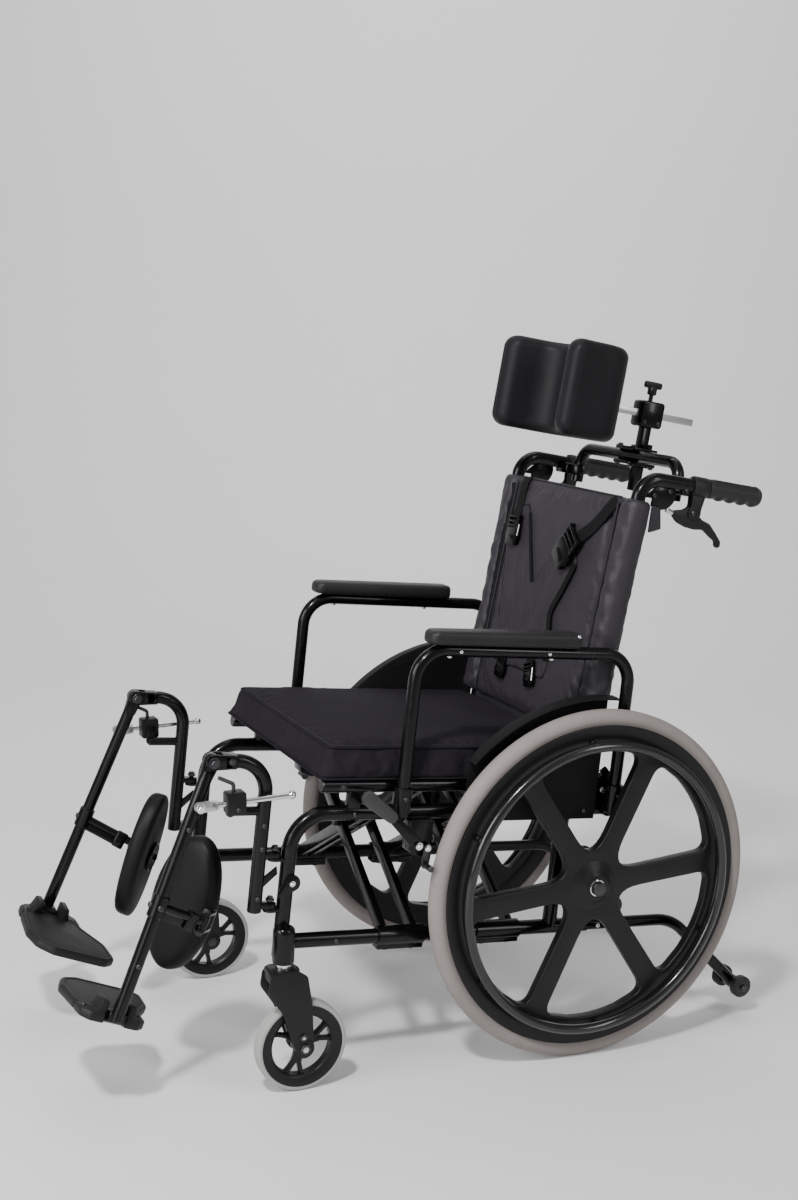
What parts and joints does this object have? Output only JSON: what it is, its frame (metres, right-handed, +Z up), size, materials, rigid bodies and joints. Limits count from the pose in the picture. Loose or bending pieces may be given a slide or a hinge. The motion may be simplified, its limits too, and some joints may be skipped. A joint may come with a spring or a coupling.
{
  "type": "reclining wheelchair",
  "caption": "Folding reclining wheelchair with push rims, swing-away raising legrests, calf pads, lift-out armrests, anti-tip wheels, recline triggers and an adjustable headrest.",
  "frame": {"origin": "middle of the footprint's bounding box, on the floor", "axes": "+Z up, front toward -Y, occupant's left at +X"},
  "size_m": [0.6362, 1.2544, 1.2193],
  "materials": {
    "paint": "gloss black paint",
    "nylon": "moulded nylon",
    "tyre": "solid grey polyurethane",
    "caster": "solid grey polyurethane",
    "pad": "integral-skin foam",
    "cloth": "woven nylon over foam",
    "chrome": "polished",
    "satin": "satin",
    "rubber": "ribbed grip"
  },
  "bodies": {
    "frame_left": {"side_frame_left": "paint", "wheel_axle_left": "paint", "skirt_guard_left": "nylon"},
    "frame_right": {"side_frame_right": "paint", "wheel_axle_right": "paint", "skirt_guard_right": "nylon"},
    "brace_left": {"cross_brace_left": "paint"},
    "brace_right": {"cross_brace_right": "paint"},
    "seat": {"seat_cushion": "cloth"},
    "rear_wheel_left": {"rear_wheel_left": "nylon", "rear_tyre_left": "tyre", "push_rim_left": "nylon"},
    "caster_fork_left": {"caster_fork_left": "nylon"},
    "caster_wheel_left": {"caster_wheel_left": "nylon", "caster_tyre_left": "caster"},
    "anti_tip_left": {"anti_tip_tube_left": "paint"},
    "anti_tip_wheel_left": {"anti_tip_wheel_left": "rubber"},
    "brake_lever_left": {"brake_lever_left": "paint"},
    "brake_shoe_left": {"brake_shoe_left": "chrome"},
    "armrest_left": {"armrest_tube_left": "paint", "armrest_pad_left": "pad"},
    "rear_wheel_right": {"rear_wheel_right": "nylon", "rear_tyre_right": "tyre", "push_rim_right": "nylon"},
    "caster_fork_right": {"caster_fork_right": "nylon"},
    "caster_wheel_right": {"caster_wheel_right": "nylon", "caster_tyre_right": "caster"},
    "anti_tip_right": {"anti_tip_tube_right": "paint"},
    "anti_tip_wheel_right": {"anti_tip_wheel_right": "rubber"},
    "brake_lever_right": {"brake_lever_right": "paint"},
    "brake_shoe_right": {"brake_shoe_right": "chrome"},
    "armrest_right": {"armrest_tube_right": "paint", "armrest_pad_right": "pad"},
    "back_left": {"back_post_left": "paint", "push_grip_left": "rubber", "back_upholstery": "cloth", "harness_vest": "cloth"},
    "back_right": {"back_post_right": "paint", "push_grip_right": "rubber"},
    "trigger_left": {"recline_trigger_left": "nylon"},
    "trigger_right": {"recline_trigger_right": "nylon"},
    "headrest_bar": {"headrest_bar": "paint"},
    "headrest_stem": {"headrest_stem": "paint"},
    "headrest": {"headrest_slide": "satin", "headrest_pad": "pad"},
    "headrest_knob": {"headrest_knob": "nylon"},
    "hanger_left": {"legrest_hanger_left": "paint"},
    "leg_left": {"leg_tube_left": "paint"},
    "leg_rod_left": {"elevating_rod_left": "chrome"},
    "leg_clamp_left": {"rod_clamp_left": "nylon"},
    "calf_left": {"calf_pad_left": "pad"},
    "foot_left": {"footplate_left": "nylon"},
    "hanger_right": {"legrest_hanger_right": "paint"},
    "leg_right": {"leg_tube_right": "paint"},
    "leg_rod_right": {"elevating_rod_right": "chrome"},
    "leg_clamp_right": {"rod_clamp_right": "nylon"},
    "calf_right": {"calf_pad_right": "pad"},
    "foot_right": {"footplate_right": "nylon"}
  },
  "joints": [
    {"name": "fold", "type": "hinge", "parent": "frame_left", "child": "brace_left", "pos_m": [0.219, -0.08091, 0.2317], "axis": [0, 0.9976, -0.0698], "range_deg": [0, 20], "deforming": ["seat_cushion", "back_upholstery", "harness_vest"]},
    {"name": "fold_cross", "type": "hinge", "parent": "brace_left", "child": "brace_right", "pos_m": [0, -0.07195, 0.35988], "axis": [0, 0.9976, -0.0698], "range_deg": [-40, 0]},
    {"name": "fold_right", "type": "hinge", "parent": "brace_right", "child": "frame_right", "pos_m": [-0.219, -0.08091, 0.2317], "axis": [0, 0.9976, -0.0698], "range_deg": [0, 20]},
    {"name": "seat_lift", "type": "slide", "parent": "frame_left", "child": "seat", "axis": [0, 0.0698, 0.9976], "range_m": [0, 0.1506]},
    {"name": "wheel_spin_left", "type": "hinge", "parent": "frame_left", "child": "rear_wheel_left", "pos_m": [0.281, 0.247, 0.305], "axis": [1, 0, 0], "continuous": true},
    {"name": "caster_swivel_left", "type": "hinge", "parent": "frame_left", "child": "caster_fork_left", "pos_m": [0.239, -0.293, 0.2105], "axis": [0, 0, 1], "continuous": true},
    {"name": "caster_spin_left", "type": "hinge", "parent": "caster_fork_left", "child": "caster_wheel_left", "pos_m": [0.239, -0.259, 0.0765], "axis": [1, 0, 0], "continuous": true},
    {"name": "anti_tip_turn_left", "type": "hinge", "parent": "frame_left", "child": "anti_tip_left", "pos_m": [0.219, 0.28021, 0.20644], "axis": [0, 0.9976, -0.0698], "range_deg": [0, 180]},
    {"name": "anti_tip_spin_left", "type": "hinge", "parent": "anti_tip_left", "child": "anti_tip_wheel_left", "pos_m": [0.219, 0.60701, 0.05598], "axis": [1, 0, 0], "continuous": true},
    {"name": "brake_left", "type": "hinge", "parent": "frame_left", "child": "brake_lever_left", "pos_m": [0.2623, -0.07518, 0.3997], "axis": [1, 0, 0], "range_deg": [0, 28]},
    {"name": "brake_pin_left", "type": "hinge", "parent": "frame_left", "child": "brake_shoe_left", "pos_m": [0.2623, -0.0595, 0.3946], "axis": [1, 0, 0], "range_deg": [0, 10]},
    {"name": "armrest_lift_left", "type": "slide", "parent": "frame_left", "child": "armrest_left", "axis": [0, 0.0698, 0.9976], "range_m": [0, 0.12]},
    {"name": "wheel_spin_right", "type": "hinge", "parent": "frame_right", "child": "rear_wheel_right", "pos_m": [-0.281, 0.247, 0.305], "axis": [1, 0, 0], "continuous": true},
    {"name": "caster_swivel_right", "type": "hinge", "parent": "frame_right", "child": "caster_fork_right", "pos_m": [-0.239, -0.293, 0.2105], "axis": [0, 0, 1], "continuous": true},
    {"name": "caster_spin_right", "type": "hinge", "parent": "caster_fork_right", "child": "caster_wheel_right", "pos_m": [-0.239, -0.259, 0.0765], "axis": [1, 0, 0], "continuous": true},
    {"name": "anti_tip_turn_right", "type": "hinge", "parent": "frame_right", "child": "anti_tip_right", "pos_m": [-0.219, 0.28021, 0.20644], "axis": [0, -0.9976, 0.0698], "range_deg": [0, 180]},
    {"name": "anti_tip_spin_right", "type": "hinge", "parent": "anti_tip_right", "child": "anti_tip_wheel_right", "pos_m": [-0.219, 0.60701, 0.05598], "axis": [1, 0, 0], "continuous": true},
    {"name": "brake_right", "type": "hinge", "parent": "frame_right", "child": "brake_lever_right", "pos_m": [-0.2623, -0.07518, 0.3997], "axis": [1, 0, 0], "range_deg": [0, 28]},
    {"name": "brake_pin_right", "type": "hinge", "parent": "frame_right", "child": "brake_shoe_right", "pos_m": [-0.2623, -0.0595, 0.3946], "axis": [1, 0, 0], "range_deg": [0, 10]},
    {"name": "armrest_lift_right", "type": "slide", "parent": "frame_right", "child": "armrest_right", "axis": [0, 0.0698, 0.9976], "range_m": [0, 0.12]},
    {"name": "recline", "type": "hinge", "parent": "frame_left", "child": "back_left", "pos_m": [0.21, 0.26145, 0.45436], "axis": [-1, 0, 0], "range_deg": [0, 55]},
    {"name": "recline_right", "type": "hinge", "parent": "frame_right", "child": "back_right", "pos_m": [-0.21, 0.26145, 0.45436], "axis": [-1, 0, 0], "range_deg": [0, 55]},
    {"name": "trigger_pull_left", "type": "hinge", "parent": "back_left", "child": "trigger_left", "pos_m": [0.21, 0.44682, 0.93018], "axis": [1, 0, 0], "range_deg": [0, 20], "stiffness_Nm_per_rad": 0.6},
    {"name": "trigger_pull_right", "type": "hinge", "parent": "back_right", "child": "trigger_right", "pos_m": [-0.21, 0.44682, 0.93018], "axis": [1, 0, 0], "range_deg": [0, 20], "stiffness_Nm_per_rad": 0.6},
    {"name": "headrest_swing", "type": "hinge", "parent": "back_left", "child": "headrest_bar", "pos_m": [0.165, 0.44431, 0.96747], "axis": [0, -0.1478, -0.989], "range_deg": [0, 90]},
    {"name": "headrest_height", "type": "slide", "parent": "headrest_bar", "child": "headrest_stem", "axis": [0, 0.1478, 0.989], "range_m": [-0.028, 0.04]},
    {"name": "headrest_depth", "type": "slide", "parent": "headrest_stem", "child": "headrest", "axis": [0, 0.989, -0.1478], "range_m": [-0.04, 0.055]},
    {"name": "headrest_knob_turn", "type": "hinge", "parent": "headrest_stem", "child": "headrest_knob", "pos_m": [0, 0.48707, 1.11021], "axis": [0, 0.1478, 0.989], "continuous": true},
    {"name": "legrest_swing_left", "type": "hinge", "parent": "frame_left", "child": "hanger_left", "pos_m": [0.219, -0.30643, 0.38981], "axis": [0, 0.0698, 0.9976], "range_deg": [0, 90]},
    {"name": "leg_raise_left", "type": "hinge", "parent": "hanger_left", "child": "leg_left", "pos_m": [0.219, -0.41319, 0.55466], "axis": [-1, 0, 0], "range_deg": [0, 60]},
    {"name": "leg_rod_turn_left", "type": "hinge", "parent": "leg_left", "child": "leg_rod_left", "pos_m": [0.243, -0.43862, 0.48944], "axis": [-1, 0, 0], "range_deg": [-30, 0]},
    {"name": "leg_clamp_turn_left", "type": "hinge", "parent": "hanger_left", "child": "leg_clamp_left", "pos_m": [0.219, -0.38141, 0.49229], "axis": [-1, 0, 0], "range_deg": [0, 30]},
    {"name": "calf_turn_left", "type": "hinge", "parent": "leg_left", "child": "calf_left", "pos_m": [0.20108, -0.41631, 0.28789], "axis": [-0.0645, 0.3625, 0.9297], "range_deg": [-30, 15]},
    {"name": "foot_fold_left", "type": "hinge", "parent": "leg_left", "child": "foot_left", "pos_m": [0.23114, -0.56579, 0.16326], "axis": [0, 0.9317, -0.3633], "range_deg": [0, 26]},
    {"name": "legrest_swing_right", "type": "hinge", "parent": "frame_right", "child": "hanger_right", "pos_m": [-0.219, -0.30643, 0.38981], "axis": [0, -0.0698, -0.9976], "range_deg": [0, 90]},
    {"name": "leg_raise_right", "type": "hinge", "parent": "hanger_right", "child": "leg_right", "pos_m": [-0.219, -0.41319, 0.55466], "axis": [-1, 0, 0], "range_deg": [0, 60]},
    {"name": "leg_rod_turn_right", "type": "hinge", "parent": "leg_right", "child": "leg_rod_right", "pos_m": [-0.243, -0.43862, 0.48944], "axis": [-1, 0, 0], "range_deg": [-30, 0]},
    {"name": "leg_clamp_turn_right", "type": "hinge", "parent": "hanger_right", "child": "leg_clamp_right", "pos_m": [-0.219, -0.38141, 0.49229], "axis": [-1, 0, 0], "range_deg": [0, 30]},
    {"name": "calf_turn_right", "type": "hinge", "parent": "leg_right", "child": "calf_right", "pos_m": [-0.20108, -0.41631, 0.28789], "axis": [-0.0645, -0.3625, -0.9297], "range_deg": [-30, 15]},
    {"name": "foot_fold_right", "type": "hinge", "parent": "leg_right", "child": "foot_right", "pos_m": [-0.23114, -0.56579, 0.16326], "axis": [0, -0.9317, 0.3633], "range_deg": [0, 26]}
  ],
  "couplings": [
    {"joint": "fold_cross", "follows": "fold", "ratio": -2},
    {"joint": "fold_right", "follows": "fold", "ratio": 1},
    {"joint": "seat_lift", "follows": "fold", "m_per_rad": 0.43},
    {"joint": "brake_pin_left", "follows": "brake_left", "ratio": 0.35},
    {"joint": "brake_pin_right", "follows": "brake_right", "ratio": 0.35},
    {"joint": "recline_right", "follows": "recline", "ratio": 1},
    {"joint": "headrest_swing", "follows": "fold", "ratio": 4.5},
    {"joint": "leg_rod_turn_left", "follows": "leg_raise_left", "ratio": -0.5},
    {"joint": "leg_clamp_turn_left", "follows": "leg_raise_left", "ratio": 0.5},
    {"joint": "leg_rod_turn_right", "follows": "leg_raise_right", "ratio": -0.5},
    {"joint": "leg_clamp_turn_right", "follows": "leg_raise_right", "ratio": 0.5}
  ]
}
